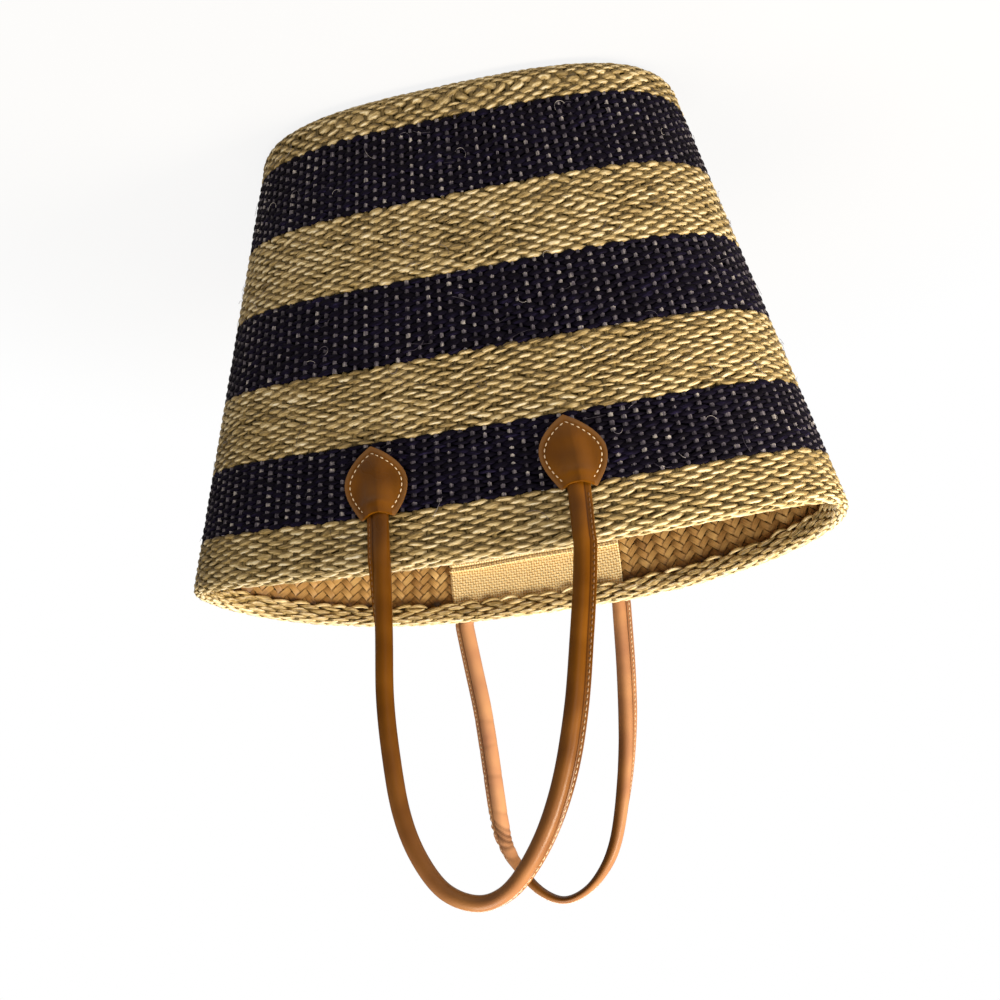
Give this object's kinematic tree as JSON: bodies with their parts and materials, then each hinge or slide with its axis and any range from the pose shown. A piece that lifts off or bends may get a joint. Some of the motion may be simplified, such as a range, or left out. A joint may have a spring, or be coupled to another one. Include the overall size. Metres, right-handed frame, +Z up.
{
  "type": "kiondo basket",
  "caption": "Woven sisal tote basket in natural and navy stripes, with a plaited palm lining, a hessian inside pocket and rolled leather handles on leaf-shaped leather tabs.",
  "frame": {"origin": "on the floor, under the middle of the basket", "axes": "+Z up, X along the long sides of the oval, -Y towards the front"},
  "size_m": [0.398, 0.1909, 0.4964],
  "materials": {
    "natural_sisal": "hand-spun sisal yarn, undyed, twined in close rows",
    "navy_sisal": "hand-spun sisal yarn dyed navy, twined in close rows",
    "plaited_palm": "split palm leaf plaited in a herringbone twill",
    "hessian": "plain-woven hessian cloth",
    "tan_leather": "smooth waxed tan leather with a lighter cut edge",
    "cream_thread": "waxed cream sewing thread",
    "filler_cord": "twisted cotton filler cord"
  },
  "bodies": {
    "basket": {"base_weave": "natural_sisal", "weft_navy_low": "navy_sisal", "weft_natural_low": "natural_sisal", "weft_navy_middle": "navy_sisal", "weft_natural_middle": "natural_sisal", "weft_navy_top": "navy_sisal", "weft_natural_top": "natural_sisal", "hem_whipping": "natural_sisal", "lining_wall": "plaited_palm", "lining_base": "plaited_palm", "pocket_back": "hessian", "pocket_front": "hessian", "pocket_mouth_fold": "hessian", "tab_front_left": "tan_leather", "tab_front_right": "tan_leather", "tab_back_left": "tan_leather", "tab_back_right": "tan_leather", "tab_thread_front_left": "cream_thread", "tab_thread_front_right": "cream_thread", "tab_thread_back_left": "cream_thread", "tab_thread_back_right": "cream_thread", "handle_front_end_left": "tan_leather", "handle_front_end_right": "tan_leather", "handle_back_end_left": "tan_leather", "handle_back_end_right": "tan_leather"},
    "handle_front": {"handle_front_sleeve": "tan_leather", "handle_front_filler": "filler_cord", "handle_front_seam_thread": "cream_thread"},
    "handle_back": {"handle_back_sleeve": "tan_leather", "handle_back_filler": "filler_cord", "handle_back_seam_thread": "cream_thread"}
  },
  "joints": [
    {"name": "handle_front_swing", "type": "hinge", "parent": "basket", "child": "handle_front", "pos_m": [0, -0.09572, 0.30939], "axis": [1, 0, 0], "range_deg": [-29, 175]},
    {"name": "handle_back_swing", "type": "hinge", "parent": "basket", "child": "handle_back", "pos_m": [0, 0.09587, 0.30947], "axis": [-1, 0, 0], "range_deg": [-29, 175]}
  ]
}
